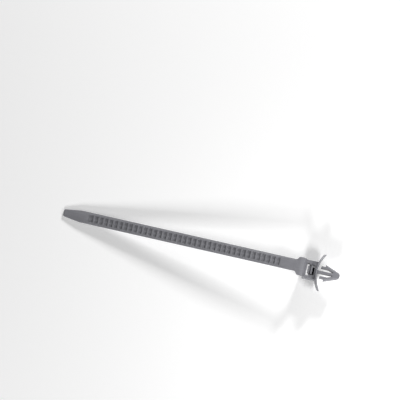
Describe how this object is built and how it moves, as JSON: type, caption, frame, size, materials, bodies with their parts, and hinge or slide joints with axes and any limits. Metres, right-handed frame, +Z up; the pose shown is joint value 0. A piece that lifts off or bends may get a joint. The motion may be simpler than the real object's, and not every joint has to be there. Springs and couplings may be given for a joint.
{
  "type": "push mount cable tie",
  "caption": "Grey nylon cable tie moulded as one piece, with a pocketed strap, a curved neck, a pawl head, an oval spring wing and an arrowhead that snaps into a panel.",
  "frame": {"origin": "under the middle of the length, on the plane that the tie rests on", "axes": "+X along the tie towards the tip of the arrowhead, +Y across the strap, +Z up, on the pocketed side of the strap; the tie rests on the nose of its strap and the lower rim of its wing, so the strap and the arrowhead climb towards +X at 5.19 degrees"},
  "size_m": [0.1604, 0.0212, 0.0136],
  "materials": {
    "nylon": "satin moulded polyamide, medium grey"
  },
  "bodies": {
    "root": {"cable_tie": "nylon"}
  },
  "joints": []
}
